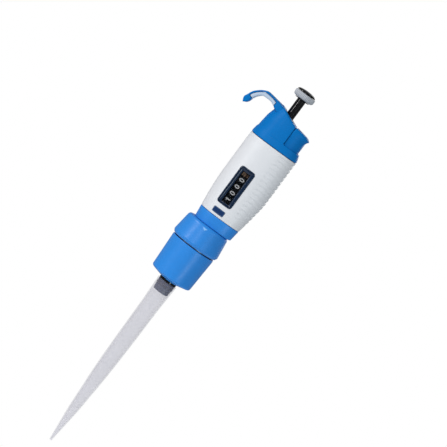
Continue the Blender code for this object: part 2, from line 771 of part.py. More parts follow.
def main():
    for old in list(bpy.data.objects):
        bpy.data.objects.remove(old)
    plunger = empty("plunger")
    knob = empty("knob")
    knob.parent = plunger
    ejector = empty("ejector")
    make_tip()
    make_nozzle()
    make_cylinder()
    make_piston(plunger)
    make_springs()
    make_sleeve(ejector)
    make_carrier(ejector)
    make_retaining_ring()
    make_base_collar()
    make_handle()
    make_window()
    make_counter()
    make_volume_stop()
    make_plunger_knob(knob)
    make_cap()
    make_ejector(ejector)


main()
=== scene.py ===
"""Looks of the adjustable pipette: shapes, materials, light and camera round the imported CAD.

Heights in this file are millimetres above the open end of the tip, and at() turns one
into a Z coordinate. The hook reaches towards -X, the palm side and the tip ejector are
towards +X, and the volume window faces -Y.
"""

import math

import bmesh
import bpy
import numpy as np
from mathutils import Matrix, Vector


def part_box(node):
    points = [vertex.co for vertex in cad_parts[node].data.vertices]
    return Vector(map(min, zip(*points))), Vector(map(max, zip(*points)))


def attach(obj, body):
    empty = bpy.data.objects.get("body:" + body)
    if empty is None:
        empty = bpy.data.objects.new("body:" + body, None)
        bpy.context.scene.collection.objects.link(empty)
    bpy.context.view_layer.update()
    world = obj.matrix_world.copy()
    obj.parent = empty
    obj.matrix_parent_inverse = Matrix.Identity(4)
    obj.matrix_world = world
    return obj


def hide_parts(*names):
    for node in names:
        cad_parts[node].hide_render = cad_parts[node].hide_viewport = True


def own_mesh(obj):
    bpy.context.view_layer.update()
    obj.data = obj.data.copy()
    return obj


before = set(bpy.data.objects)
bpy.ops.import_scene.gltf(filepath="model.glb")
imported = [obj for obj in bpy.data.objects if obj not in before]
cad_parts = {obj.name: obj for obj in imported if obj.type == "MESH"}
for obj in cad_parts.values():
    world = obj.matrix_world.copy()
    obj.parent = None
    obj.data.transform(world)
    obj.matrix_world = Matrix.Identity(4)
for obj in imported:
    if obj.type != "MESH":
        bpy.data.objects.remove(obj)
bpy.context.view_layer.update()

MM = 0.001
TIP_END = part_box("tip")[0].z
GAP = 0.3
RIGHT_ANGLE = math.pi / 2
EJECTOR_ROD_X = sum(corner.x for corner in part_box("ejector_rod")) / 2 / MM


def at(height):
    """Z coordinate of a height above the tip's end."""
    return TIP_END + height * MM


def span(node):
    """Lowest and highest height of a CAD node."""
    low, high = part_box(node)
    return (low.z - TIP_END) / MM, (high.z - TIP_END) / MM


# ---------------------------------------------------------------- materials


TONE_SCALE, GLOSS_SCALE = 90, 420
RELIEF_DEPTH = 0.02 * MM


def material(
    name,
    colour,
    roughness,
    spread=0.06,
    tone=0.05,
    grain=1500,
    relief=0.25,
    stretch=(1, 1, 1),
    **sockets,
):
    """A Principled material whose tone, roughness and fine relief vary over the surface."""
    made = bpy.data.materials.new(name)
    made.use_nodes = True
    tree = made.node_tree
    shader = tree.nodes["Principled BSDF"]
    place = tree.nodes.new("ShaderNodeTexCoord")
    scale = tree.nodes.new("ShaderNodeMapping")
    scale.inputs["Scale"].default_value = stretch
    tree.links.new(place.outputs["Object"], scale.inputs["Vector"])

    def noise(size, detail):
        node = tree.nodes.new("ShaderNodeTexNoise")
        node.inputs["Scale"].default_value = size
        node.inputs["Detail"].default_value = detail
        tree.links.new(scale.outputs["Vector"], node.inputs["Vector"])
        return node.outputs["Fac"]

    mix = tree.nodes.new("ShaderNodeMix")
    mix.data_type = "RGBA"
    mix.inputs["A"].default_value = (*[c * (1 - tone) for c in colour], 1)
    mix.inputs["B"].default_value = (*[min(1, c * (1 + tone)) for c in colour], 1)
    tree.links.new(noise(TONE_SCALE, 3), mix.inputs["Factor"])
    tree.links.new(mix.outputs["Result"], shader.inputs["Base Color"])
    rough = tree.nodes.new("ShaderNodeMapRange")
    rough.inputs["From Min"].default_value = 0.3
    rough.inputs["From Max"].default_value = 0.7
    rough.inputs["To Min"].default_value = max(0.02, roughness - spread)
    rough.inputs["To Max"].default_value = roughness + spread
    tree.links.new(noise(GLOSS_SCALE, 4), rough.inputs["Value"])
    tree.links.new(rough.outputs["Result"], shader.inputs["Roughness"])
    bump = tree.nodes.new("ShaderNodeBump")
    bump.inputs["Strength"].default_value = relief
    bump.inputs["Distance"].default_value = RELIEF_DEPTH
    tree.links.new(noise(grain, 2), bump.inputs["Height"])
    tree.links.new(bump.outputs["Normal"], shader.inputs["Normal"])
    for socket, value in sockets.items():
        shader.inputs[socket.replace("_", " ")].default_value = value
    return made


BLUE = material("satin_blue", (0.022, 0.240, 0.72), 0.37, Specular_IOR_Level=0.34)
DEEP_BLUE = material("deep_blue", (0.001, 0.165, 0.515), 0.42, Specular_IOR_Level=0.08)
# Paler blue of the raised ring mark: a painted highlight on it, not its own colour.
MARK_HIGHLIGHT_BLUE = material("mark_highlight_blue", (0.20, 0.50, 0.92), 0.40)
NAVY = material("navy", (0.006, 0.032, 0.12), 0.35, Specular_IOR_Level=0.2)
NAVY_EDGE = material("navy_edge", (0.05, 0.11, 0.24), 0.35)
WHITE = material("grip_white", (0.73, 0.745, 0.78), 0.42, 0.08, 0.025, 2200, 0.45)
PALE = material("soft_pad", (0.46, 0.56, 0.70), 0.58, 0.06, 0.04, 1800, 0.5)
BEZEL = material("window_bezel", (0.001, 0.013, 0.042), 0.22, Specular_IOR_Level=0.36)
GLOSS_BLACK = material(
    "gloss_black", (0.003, 0.003, 0.004), 0.14, 0.015, 0.1, 900, 0.01, Specular_IOR_Level=0.26
)
DRUM_BLACK = material("drum_black", (0.002, 0.002, 0.003), 0.5, 0.1, Specular_IOR_Level=0.08)
DIGIT_WHITE = material("digit_white", (0.80, 0.81, 0.83), 0.5, 0.08, 0.04)
KNOB_GREY = material("knob_grey", (0.43, 0.455, 0.50), 0.42, 0.08, 0.05)
NOZZLE_GREY = material("nozzle_grey", (0.032, 0.045, 0.070), 0.45)
NOZZLE_DARK = material("nozzle_dark", (0.012, 0.010, 0.022), 0.4)
DARK_GREY = material("dark_grey", (0.045, 0.05, 0.06), 0.5)
INNER_WHITE = material("inner_white", (0.72, 0.73, 0.75), 0.5)
RUBBER = material("rubber", (0.014, 0.014, 0.015), 0.75, 0.08, 0.1, 2500, 0.6)
STEEL = material("steel", (0.56, 0.56, 0.58), 0.27, 0.1, 0.05, 700, 0.3, (1, 1, 0.1), Metallic=1)
DARK_STEEL = material("dark_steel", (0.11, 0.14, 0.19), 0.4, 0.1, 0.05, 700, Metallic=1)
BRASS = material("brass", (0.28, 0.18, 0.12), 0.42, 0.1, 0.12, 700, 0.3, Metallic=0.8)
MILKY = material(
    "tip_polypropylene", (0.39, 0.385, 0.49), 0.36, 0.08, 0.03, 900, 0.25, Alpha=0.175
)
CLEAR = material(
    "window_clear", (0.01, 0.015, 0.02), 0.08, 0.03, 0.05, 300, 0.03,
    Alpha=0.08, Specular_IOR_Level=0.3,
)
FLOOR = material(
    "floor_white", (0.93, 0.93, 0.93), 0.7, 0.05, 0.01, 40, 0.1,
    Emission_Color=(1, 1, 1, 1), Emission_Strength=0.22,
)

# ---------------------------------------------------------------- mesh helpers


def angles(count):
    """Angles evenly round a circle."""
    return [2 * math.pi * k / count for k in range(count)]


def solid(name, points, faces, look, angle=38):
    """A mesh object from points in millimetres (x, y, height) and faces."""
    mesh = bpy.data.meshes.new(name)
    placed = [(x * MM, y * MM, at(h)) for x, y, h in points]
    mesh.from_pydata(placed, [], faces)
    return finished(name, mesh, look, angle)


def finished(name, mesh, look, angle=38):
    """An object from a mesh, its faces turned outwards and its edges shaded by angle."""
    bm = bmesh.new()
    bm.from_mesh(mesh)
    bmesh.ops.recalc_face_normals(bm, faces=bm.faces)
    bm.to_mesh(mesh)
    bm.free()
    mesh.shade_smooth()
    mesh.set_sharp_from_angle(angle=math.radians(angle))
    made = bpy.data.objects.new(name, mesh)
    for one in look if isinstance(look, tuple) else (look,):
        mesh.materials.append(one)
    bpy.context.scene.collection.objects.link(made)
    return made


def rounded(outline, radius=0.3, steps=4):
    """An outline with rounded corners. A third number on a point is its own radius."""
    made = []
    for i, point in enumerate(outline):
        own = point[2] if len(point) > 2 else radius
        here = Vector(point[:2])
        back = Vector(outline[i - 1][:2]) - here
        ahead = Vector(outline[(i + 1) % len(outline)][:2]) - here
        reach = min(own, 0.42 * back.length, 0.42 * ahead.length)
        if reach < 0.01:
            made.append(tuple(here))
            continue
        start = here + back.normalized() * reach
        end = here + ahead.normalized() * reach
        made.append(tuple(here + back.normalized() * min(1.25 * reach, 0.49 * back.length)))
        for k in range(steps + 1):
            t = k / steps
            made.append(tuple(start * (1 - t) ** 2 + here * 2 * t * (1 - t) + end * t * t))
        made.append(tuple(here + ahead.normalized() * min(1.25 * reach, 0.49 * ahead.length)))
    return made


def lathe(name, outline, look, sides=96, place=(0, 0), shape=None, angle=38):
    """A solid of revolution from a closed outline of (radius, height) points."""
    points, rings = [], []
    for r, h in outline:
        if r < 1e-6:
            rings.append([len(points)])
            points.append((place[0], place[1], h))
            continue
        ring = []
        for turn in angles(sides):
            own = shape(r, h, turn) if shape else r
            ring.append(len(points))
            points.append((place[0] + own * math.cos(turn), place[1] + own * math.sin(turn), h))
        rings.append(ring)
    faces = []
    for low, high in zip(rings, rings[1:] + rings[:1]):
        if len(low) == 1 and len(high) == 1:
            continue
        for k in range(sides):
            n = (k + 1) % sides
            if len(low) == 1:
                faces.append((low[0], high[n], high[k]))
            elif len(high) == 1:
                faces.append((low[k], low[n], high[0]))
            else:
                faces.append((low[k], low[n], high[n], high[k]))
    return solid(name, points, faces, look, angle)


def loft(name, rings, look, closed=False, angle=38):
    """A solid through rings of equally many points, with end caps, or closed on itself."""
    count = len(rings[0])
    points = [point for ring in rings for point in ring]
    faces = []
    for i in range(len(rings) if closed else len(rings) - 1):
        a, b = i * count, (i + 1) % len(rings) * count
        for k in range(count):
            n = (k + 1) % count
            faces.append((a + k, a + n, b + n, b + k))
    if not closed:
        faces.append(tuple(range(count)))
        faces.append(tuple(range(len(points) - count, len(points))))
    return solid(name, points, faces, look, angle)


def cylinder(name, radius, low, high, look, sides=96, place=(0, 0)):
    """An upright cylinder between two heights, for use in a Boolean."""
    outline = ((0, low), (radius, low), (radius, high), (0, high))
    return lathe(name, outline, look, sides, place)


def block(name, low, high):
    """A box between two corners, for use in a Boolean."""
    corners = ((low[0], low[1]), (high[0], low[1]), (high[0], high[1]), (low[0], high[1]))
    return loft(name, [[(x, y, h) for x, y in corners] for h in (low[2], high[2])], WHITE)


def settle(thing, angle=38):
    """Gives the object, as its own mesh, what its modifiers make of it."""
    bpy.context.view_layer.update()
    graph = bpy.context.evaluated_depsgraph_get()
    mesh = bpy.data.meshes.new_from_object(thing.evaluated_get(graph))
    thing.modifiers.clear()
    thing.data = mesh
    mesh.shade_smooth()
    mesh.set_sharp_from_angle(angle=math.radians(angle))
    return thing


def combine(thing, operation, *others):
    """Joins others to a solid or cuts them from it, and removes them."""
    for other in others:
        modifier = thing.modifiers.new(other.name, "BOOLEAN")
        modifier.operation = operation
        modifier.solver = "EXACT"
        modifier.object = other
    settle(thing)
    for other in others:
        bpy.data.objects.remove(other)
    return thing


def melt(thing, voxel, passes):
    """Rounds every edge of a solid a little, as moulding does."""
    remesh = thing.modifiers.new("remesh", "REMESH")
    remesh.mode = "VOXEL"
    remesh.voxel_size = voxel * MM
    smooth = thing.modifiers.new("smooth", "SMOOTH")
    smooth.factor = 0.5
    smooth.iterations = passes
    return settle(thing, 60)


def sheet_solid(name, front, back, across, look):
    """A solid between two grids of points, each with rows of `across` points."""
    count = len(front)
    rows, columns = count // across - 1, across - 1
    faces = []
    for i in range(rows):
        for k in range(columns):
            a = i * across + k
            face = (a, a + 1, a + 1 + across, a + across)
            faces.append(face)
            faces.append(tuple(count + v for v in reversed(face)))
    rim = list(range(across))
    rim += [i * across + columns for i in range(1, rows + 1)]
    rim += [rows * across + k for k in reversed(range(columns))]
    rim += [i * across for i in reversed(range(1, rows))]
    for a, b in zip(rim, rim[1:] + rim[:1]):
        faces.append((a, b, count + b, count + a))
    return solid(name, front + back, faces, look)


def stand_for(piece, body, slot, *nodes):
    """Puts a piece on its body and hides the CAD nodes that it stands for; the slot is not used."""
    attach(piece, body)
    if nodes:
        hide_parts(*nodes)
    return piece


def monotone(places, values):
    """A smooth curve through values at rising places, which never overshoots them."""
    places, values = np.array(places, float), np.array(values, float)
    step = np.diff(places)
    rise = np.diff(values) / step
    slope = np.concatenate(([rise[0]], np.zeros(len(step) - 1), [rise[-1]]))
    for i in range(1, len(step)):
        if rise[i - 1] * rise[i] > 0:
            slope[i] = 2 * rise[i - 1] * rise[i] / (rise[i - 1] + rise[i])

    def value(place):
        i = min(max(int(np.searchsorted(places, place)) - 1, 0), len(step) - 1)
        t = min(max((place - places[i]) / step[i], 0), 1)
        a, b = values[i], values[i + 1]
        return float(
            a + (b - a) * t * t * (3 - 2 * t)
            + step[i] * t * (1 - t) * (slope[i] * (1 - t) - slope[i + 1] * t)
        )

    return value


def ramp(low, high, value):
    """0 below low, 1 above high, smooth between."""
    t = min(max((value - low) / (high - low), 0), 1)
    return t * t * (3 - 2 * t)


# ---------------------------------------------------------------- grip outline

# (height, reach towards the fingers, reach towards the palm, half width)
GRIP = (
    (228.3, 14.8, 22.0, 15.6),
    (238.6, 16.0, 23.3, 16.3),
    (255.0, 17.9, 26.1, 17.0),
    (272.0, 18.9, 27.9, 17.4),
    (314.0, 18.9, 27.9, 17.4),
    (320.9, 18.0, 26.0, 16.8),
    (331.0, 16.2, 24.8, 16.0),
    (342.8, 11.5, 24.0, 15.0),
)
PALM_SQUARENESS = 2.6
grip_columns = [monotone([row[0] for row in GRIP], [row[k] for row in GRIP]) for k in (1, 2, 3)]


def grip_at(height):
    """The grip's reach towards the fingers, towards the palm, and its half width."""
    return [column(height) for column in grip_columns]


def grip_ring(height, inset=0.0, slope=0.0, sides=144, carve=None):
    """The grip's outline at a height, moved inwards by inset, tilted by slope."""
    front, back, width = grip_at(height)
    ring = []
    for k in range(sides):
        turn = 2 * math.pi * (k + 0.5) / sides
        c, s = math.cos(turn), math.sin(turn)
        power = 2 / PALM_SQUARENESS
        if c < 0:
            shape = (c, s)
        else:
            shape = (c**power, math.copysign(abs(s) ** power, s))
        reach = front if c < 0 else back
        own = inset + (carve(reach * shape[0], height) if carve else 0)
        ring.append(
            ((reach - own) * shape[0], (width - own) * shape[1], height - slope * reach * shape[0])
        )
    return ring


def y_face(x, height):
    """Y of the grip's window side, which is negative."""
    front, back, width = grip_at(height)
    if x < 0:
        return -width * math.sqrt(1 - (x / front) ** 2)
    return -width * (1 - (x / back) ** PALM_SQUARENESS) ** (1 / PALM_SQUARENESS)


def rounded_rectangle(half, low, high, corner, per_corner=6, per_side=14):
    """(x, height) points round a rectangle with rounded corners, evenly along its sides."""
    points = []
    centres = ((1, high), (-1, high), (-1, low), (1, low))
    for quarter, (side, edge) in enumerate(centres):
        middle = (side * (half - corner), edge - corner if edge == high else edge + corner)
        for k in range(per_corner):
            turn = RIGHT_ANGLE * (quarter + k / (per_corner - 1))
            points.append(
                (middle[0] + corner * math.cos(turn), middle[1] + corner * math.sin(turn))
            )
        next_side, next_edge = centres[(quarter + 1) % 4]
        turn = RIGHT_ANGLE * (quarter + 1)
        end = (
            next_side * (half - corner) + corner * math.cos(turn),
            (next_edge - corner if next_edge == high else next_edge + corner)
            + corner * math.sin(turn),
        )
        start = points[-1]
        for k in range(1, per_side):
            share = k / per_side
            points.append(
                (start[0] + (end[0] - start[0]) * share, start[1] + (end[1] - start[1]) * share)
            )
    return points


def prism_along_y(name, outline, y0, y1):
    """A prism with an outline of (x, height) points, for use in a Boolean."""
    return loft(name, [[(x, y, h) for x, h in outline] for y in (y0, y1)], WHITE)


def rod_along_y(name, radius, y0, y1, height):
    """A cylinder square to the window, for use in a Boolean."""
    outline = [(radius * math.cos(t), height + radius * math.sin(t)) for t in angles(32)]
    return prism_along_y(name, outline, y0, y1)


# ---------------------------------------------------------------- tip and nozzle


def make_tip():
    """The disposable tip: a thin wall that follows the cone's changing taper."""
    _, mouth = span("tip")
    heights = (0, 17, 34.5, 51, 69, 90, 115, 142, 157.3, mouth)
    radii = (1.2, 2.9, 4.6, 5.6, 6.7, 7.45, 7.95, 8.25, 8.8, 9.25)
    radius = monotone(heights, radii)
    wall, rounding, orifice, steps = 0.8, 0.1, 0.6, 70
    widest = radius(mouth)
    levels = [mouth * k / steps for k in range(steps + 1)]
    outside = [(radius(h), h) for h in levels]
    outside[-1] = (widest, mouth - rounding)
    rim = [(widest - rounding, mouth), (widest - wall + rounding, mouth)]
    inside = [(radius(h) - wall, h) for h in reversed(levels)]
    inside[0] = (widest - wall, mouth - rounding)
    inside[-1] = (orifice, 0.0)
    tip = lathe("tip_cone", outside + rim + inside, MILKY, 96, angle=50)
    stand_for(tip, "tip", "tip_polypropylene", "tip")


def make_nozzle():
    """The cone that the tip is pushed on, its O-ring, and the black ring above the tip."""
    low, high = span("nozzle_cone")
    outline = rounded(
        (
            (3.0, 163.0), (4.6, 163.0, 0.1), (4.6, low), (6.5, low, 0.3), (7.05, 158.6),
            (7.3, 163.2, 0.1), (6.3, 163.4, 0.1), (6.3, 165.2, 0.1), (7.6, 165.4),
            (7.9, 167.4), (6.4, 167.4, 0.1), (6.4, high), (3.0, high),
        ),
        0.15,
        3,
    )
    cone = lathe("nozzle", outline, (NOZZLE_GREY, NOZZLE_DARK), 72)
    dark_above = 162.2
    for face in cone.data.polygons:
        face.material_index = int(face.center.z > at(dark_above))
    stand_for(cone, "handle", "nozzle_grey", "nozzle_cone")
    seal_radius, cord, groove = 7.3, 0.7, 164.3
    seal = [(seal_radius + cord * math.cos(t), groove + cord * math.sin(t)) for t in angles(24)]
    stand_for(
        lathe("nozzle_seal", seal, RUBBER, 72), "handle", "seal_rubber", "nozzle_o_ring"
    )
    low, high = span("nozzle_shoulder")
    shoulder = rounded(
        ((6.7, low), (7.6, low, 0.2), (8.1, low + 0.7, 0.3), (8.1, high), (6.7, high)), 0.1
    )
    stand_for(
        lathe("shoulder_ring", shoulder, GLOSS_BLACK, 96),
        "handle",
        "black_gloss",
        "nozzle_shoulder",
    )


# ---------------------------------------------------------------- liquid end


CYLINDER_RADIUS = 17.487
CYLINDER_WALL = 1.2
SLEEVE_BORE = 17.887


def make_sleeve():
    """The blue cup round the liquid end, which pushes the tip off."""
    low, high = span("ejector_sleeve")
    outline = rounded(
        (
            (8.5, low, 0.25), (17.8, 172.7, 1.2), (18.9, 173.3, 0.6), (19.4, 174.4, 1.0),
            (20.1, 190, 3.0), (20.8, high - 0.5, 0.3), (20.45, high, 0.2),
            (SLEEVE_BORE, high, 0.2), (SLEEVE_BORE, 175.9, 1.0), (16.6, 174.5, 0.8),
            (8.5, 172.2, 0.3),
        ),
        0.3,
        6,
    )
    stand_for(
        lathe("sleeve", outline, BLUE, 160), "ejector", "blue_plastic", "ejector_sleeve"
    )


def make_cylinder():
    """The wall of the liquid end, and the head that closes it."""
    low, high = span("cylinder")
    outer, bore = CYLINDER_RADIUS, CYLINDER_RADIUS - CYLINDER_WALL
    wall = rounded(
        (
            (6.7, low), (16.3, low, 0.4), (outer, low + 1.2, 0.5), (outer, high, 0.2),
            (bore, high, 0.2), (bore, low + 3, 0.3), (6.7, low + 3),
        ),
        0.1,
    )
    stand_for(lathe("cylinder_wall", wall, DARK_GREY, 128), "handle", "nozzle_grey", "cylinder")
    low, high = span("cylinder_head")
    head = rounded(((4.4, low), (outer, low, 0.2), (outer, high, 0.5), (4.4, high)), 0.2)
    stand_for(
        lathe("head_disc", head, DARK_GREY, 128), "handle", "dark_grey_plastic", "cylinder_head"
    )


def make_carrier():
    """The ring on the sleeve, with the leg and lug that the ejector rod pushes."""
    low, high = span("ejector_carrier")
    outer, ring_top = 18.7, 210
    ring = rounded(
        ((SLEEVE_BORE, low), (outer, low), (outer, ring_top), (SLEEVE_BORE, ring_top)), 0.15, 3
    )
    carrier = lathe("carrier_ring", ring, DARK_STEEL, 128)
    leg = block("leg", (17.95, -3, low + 0.5), (18.6, 3, high))
    lug = block("lug", (15.2, -2.6, high - 2.6), (18.4, 2.6, high))
    combine(carrier, "UNION", leg, lug)
    stand_for(carrier, "ejector", "steel", "ejector_carrier")


# (radius, height) of the ring's outside, from its widest line upwards
RING_SIDE = ((22.4, 209.1), (21.3, 218), (20.3, 226.1))


def ring_radius(height):
    """Outer radius of the retaining ring, above its widest line."""
    radii, heights = zip(*RING_SIDE)
    return float(np.interp(height, heights, radii))


def make_retaining_ring():
    """The wide blue ring, notched inside for the ejector rod."""
    low, high = span("retaining_ring")
    widest, middle, shoulder = RING_SIDE
    inner, ceiling = 14.5, 225.9
    outline = rounded(
        (
            (19.8, low, 0.2), (21.0, low, 0.3), (*widest, 0.7), (*middle, 3.0),
            (*shoulder, 0.8), (19.5, 227.5, 0.6), (18.0, high, 0.4), (inner, high, 0.2),
            (inner, ceiling, 0.1), (18.9, ceiling, 0.1), (19.2, 218), (19.8, 212),
        ),
        0.3,
        6,
    )
    ring = lathe("ring", outline, BLUE, 160)
    notch = cylinder("notch", 1.9, 224, 230, BLUE, 32, (EJECTOR_ROD_X, 0))
    combine(ring, "DIFFERENCE", notch)
    stand_for(ring, "handle", "blue_plastic", "retaining_ring")


def make_ring_mark():
    """The raised triangle that points down, in line with the window; its paler blue is a painted
    highlight on the raised mark.
    """
    top, apex, half, rows, columns = 225.7, 223.7, 2.3, 8, 10
    proud, sunk, blunt = 0.14, -0.3, 0.03
    grids = []
    for lift in (proud, sunk):
        grid = []
        for i in range(rows + 1):
            h = apex + (top - apex) * i / rows
            for k in range(columns + 1):
                x = half * (blunt + (1 - blunt) * i / rows) * (2 * k / columns - 1)
                reach = ring_radius(h) + lift
                grid.append((x, -math.sqrt(reach * reach - x * x), h))
        grids.append(grid)
    stand_for(sheet_solid("ring_mark", *grids, columns + 1, MARK_HIGHLIGHT_BLUE), "handle", None)


def make_base_collar():
    """The blue collar at the foot of the grip, with the tube round the springs."""
    low, top = span("base_collar")
    foot = GRIP[0][0]
    # (distance from the edge, how far the outline is drawn in there)
    edge = ((0.0, 0.5), (0.12, 0.2), (0.3, 0.06), (0.55, 0.0))
    rings = [grip_ring(foot + up, inset) for up, inset in edge]
    rings += [grip_ring(foot + (top - foot) * k / 6) for k in range(1, 6)]
    rings += [grip_ring(top - up, inset) for up, inset in reversed(edge)]
    collar = loft("collar", rings, BLUE)
    tube_radius, tube_bore, hole_radius, above = 14.2, 12.9, 1.8, 242
    combine(collar, "UNION", cylinder("spring_tube", tube_radius, low, foot + 2, BLUE))
    chamber = cylinder("chamber", tube_bore, 205, above, BLUE)
    hole = cylinder("rod_hole", hole_radius, 226, above, BLUE, 32, (EJECTOR_ROD_X, 0))
    combine(collar, "DIFFERENCE", chamber, hole)
    stand_for(collar, "handle", "blue_plastic", "base_collar")


# ---------------------------------------------------------------- grip

WINDOW_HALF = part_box("window_frame")[1].x / MM
WINDOW_LOW, WINDOW_HIGH = span("window_frame")
COVER_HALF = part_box("calibration_cover")[1].x / MM
COVER_LOW, COVER_HIGH = span("calibration_cover")
SCREW_HEIGHT = sum(span("calibration_screw")) / 2
RIB_PITCH = 4.25
RIB_DEPTH = 0.5
RIB_LOW, RIB_HIGH = 247.0, 311.5
RIB_FADE = (11.5, 16.0)


def rib_depth(x, height):
    """How far the palm side is cut back between its ribs, which fade out towards the front."""
    wave = 0.5 + 0.5 * math.cos(2 * math.pi * (height - RIB_LOW) / RIB_PITCH)
    ends = ramp(RIB_LOW - 1, RIB_LOW + 1, height) * (1 - ramp(RIB_HIGH - 1, RIB_HIGH + 1, height))
    return RIB_DEPTH * wave * wave * ends * ramp(*RIB_FADE, x)


def make_handle():
    """The white grip shell with its palm ribs, window opening and cover recess."""
    low, high = span("handle_shell")
    wall, sides = 2.0, 240
    # (distance from the edge, how far the outline is drawn in there)
    edge = ((0.0, 0.45), (0.1, 0.18), (0.26, 0.05), (0.5, 0.0))
    rings = [grip_ring(low + up, inset, 0, sides) for up, inset in edge]
    count = 150
    levels = [low + 1 + (high - low - 2) * k / count for k in range(count + 1)]
    rings += [grip_ring(h, 0, 0, sides, rib_depth) for h in levels]
    rings += [grip_ring(high - up, inset, 0, sides) for up, inset in reversed(edge)]
    inner = [high, high - 1] + [high + (low - high) * k / 12 for k in range(1, 12)] + [low + 1, low]
    rings += [grip_ring(h, wall, 0, sides) for h in sorted(inner, reverse=True)]
    shell = loft("grip_shell", rings, WHITE, closed=True)
    opening = rounded_rectangle(
        WINDOW_HALF + GAP, WINDOW_LOW - GAP, WINDOW_HIGH + GAP, 2.6, 8, 2
    )
    recess = rounded_rectangle(COVER_HALF + GAP, COVER_LOW - GAP, COVER_HIGH + GAP, 0.9, 5, 2)
    outside, inside, recess_depth = -22, -8, 1.3
    screw_hole_radius, screw_hole_ends = 2.4, (-18, -10)
    floor = recess_depth + y_face(0, (COVER_LOW + COVER_HIGH) / 2)
    combine(
        shell,
        "DIFFERENCE",
        prism_along_y("opening", opening, outside, inside),
        prism_along_y("recess", recess, outside, floor),
        rod_along_y("screw_hole", screw_hole_radius, *screw_hole_ends, SCREW_HEIGHT),
    )
    stand_for(shell, "handle", "white_plastic", "handle_shell")


def make_bezel():
    """The dark frame of the window, with its sloping inner sides."""
    pane_front, foot_depth = -15.68, 2.0
    # (share of the inner slope, how proud of the grip; None is the pane's level)
    stations = (
        (-0.15, -0.25), (-0.15, 0.1), (-0.09, 0.3), (-0.02, 0.38), (0.10, 0.40), (0.19, 0.36),
        (0.23, 0.24), (0.27, 0.0), (0.62, -0.75), (0.96, None), (1.0, None), (0.99, None),
        (0.5, None), (0.5, -foot_depth), (0.0, -foot_depth), (0.0, -0.25),
    )
    side, below, above, corner, inner_lip = 3.1, 2.0, 3.2, 2.4, 10
    rings = []
    for i, (share, proud) in enumerate(stations):
        outline = rounded_rectangle(
            WINDOW_HALF - share * side,
            WINDOW_LOW + share * below,
            WINDOW_HIGH - share * above,
            max(0.5, corner - 1.9 * max(share, 0)),
        )
        ring = []
        for x, h in outline:
            y = y_face(x, h) - (proud or 0)
            if proud is None:
                y = pane_front - (0.0 if i > inner_lip else 0.1)
            ring.append((x, y, h))
        rings.append(ring)
    bezel = loft("bezel", rings, BEZEL, closed=True)
    stand_for(bezel, "handle", "window_bezel", "window_frame")


def make_pane():
    """The clear pane behind the frame."""
    edge, corner = 1.6, 1.0
    rings = []
    for y, inset in ((-15.6, 0.12), (-15.5, 0.0), (-15.0, 0.0), (-14.9, 0.12)):
        low, high = WINDOW_LOW + edge + inset, WINDOW_HIGH - edge - inset
        outline = rounded_rectangle(WINDOW_HALF - edge - inset, low, high, corner)
        rings.append([(x, y, h) for x, h in outline])
    stand_for(loft("pane", rings, CLEAR), "handle", "window_clear", "window_lens")


def make_cover():
    """The navy cover, which follows the grip's curve and has a raised paler rim."""
    columns, rows, corner, depth, rim_width = 36, 20, 0.8, 1.0, 0.45
    near_edge = (0, 0.1, 0.25, 0.45, 0.7)

    def stations(length, count):
        """Places along a side, close together at both of its ends."""
        inner = near_edge[-1]
        middle = [
            inner + (length - 2 * inner) * k / (count - 8) for k in range(1, count - 8)
        ]
        return [*near_edge, *middle, *[length - d for d in reversed(near_edge)]]

    across = len(stations(2 * COVER_HALF, columns))
    front, back = [], []
    for d in stations(COVER_HIGH - COVER_LOW, rows):
        h = COVER_LOW + d
        end = min(h - COVER_LOW, COVER_HIGH - h)
        cut = corner - math.sqrt(max(corner**2 - max(corner - end, 0) ** 2, 0))
        reach = COVER_HALF - cut
        for along in stations(2 * reach, columns):
            x = along - reach
            rim = min(end, reach - abs(x))
            proud = 0.2 - 0.25 * (1 - ramp(0, 0.3, rim)) - 0.1 * ramp(0.5, 0.8, rim)
            front.append((x, y_face(x, h) - proud, h))
            back.append((x, y_face(x, h) + depth, h))
    cover = sheet_solid("cover", front, back, across, (NAVY, NAVY_EDGE))
    for face in cover.data.polygons:
        middle = face.center
        h = (middle.z - TIP_END) / MM
        away = min(h - COVER_LOW, COVER_HIGH - h, COVER_HALF - abs(middle.x) / MM)
        face.material_index = int(away < rim_width)
    stand_for(cover, "handle", "navy_plastic", "calibration_cover")


# ---------------------------------------------------------------- counter

# The digits on each drum, and the one it shows at rest.
DRUMS = (
    ("tens", range(3), 1),
    ("units", range(10), 0),
    ("tenths", range(10), 0),
    ("hundredths", range(10), 0),
)
DIGIT_HEIGHT = 4.65
DIGIT_STEP = math.radians(36)
# Half a digit's thickness in font units, and how many mm proud one such unit stands.
DIGIT_THICKNESS = 0.01
DIGIT_RELIEF = 5
# The figure one, with its flag, in a box 1 unit high.
FIGURE_ONE = (
    (0.34, 0.0), (0.54, 0.0), (0.54, 1.0), (0.39, 1.0), (0.33, 0.88), (0.24, 0.81),
    (0.12, 0.77), (0.12, 0.62), (0.34, 0.68),
)


def glyph(character):
    """A bold digit as a thin solid, 1 unit being the font's size."""
    curve = bpy.data.curves.new("digit", "FONT")
    curve.body = character
    curve.offset = 0.02
    curve.extrude = DIGIT_THICKNESS
    curve.resolution_u = 5
    thing = bpy.data.objects.new("digit", curve)
    bpy.context.scene.collection.objects.link(thing)
    bpy.context.view_layer.update()
    graph = bpy.context.evaluated_depsgraph_get()
    mesh = bpy.data.meshes.new_from_object(thing.evaluated_get(graph))
    bpy.data.objects.remove(thing)
    return mesh


def figure_one(height):
    """The figure one as a thin solid, where the font's is a bare bar."""
    count = len(FIGURE_ONE)
    points = [
        (x * height, y * height, z)
        for z in (-DIGIT_THICKNESS, DIGIT_THICKNESS)
        for x, y in FIGURE_ONE
    ]
    faces = [tuple(reversed(range(count))), tuple(range(count, 2 * count))]
    faces += [(k, (k + 1) % count, (k + 1) % count + count, k + count) for k in range(count)]
    mesh = bpy.data.meshes.new("one")
    mesh.from_pydata(points, [], faces)
    return mesh


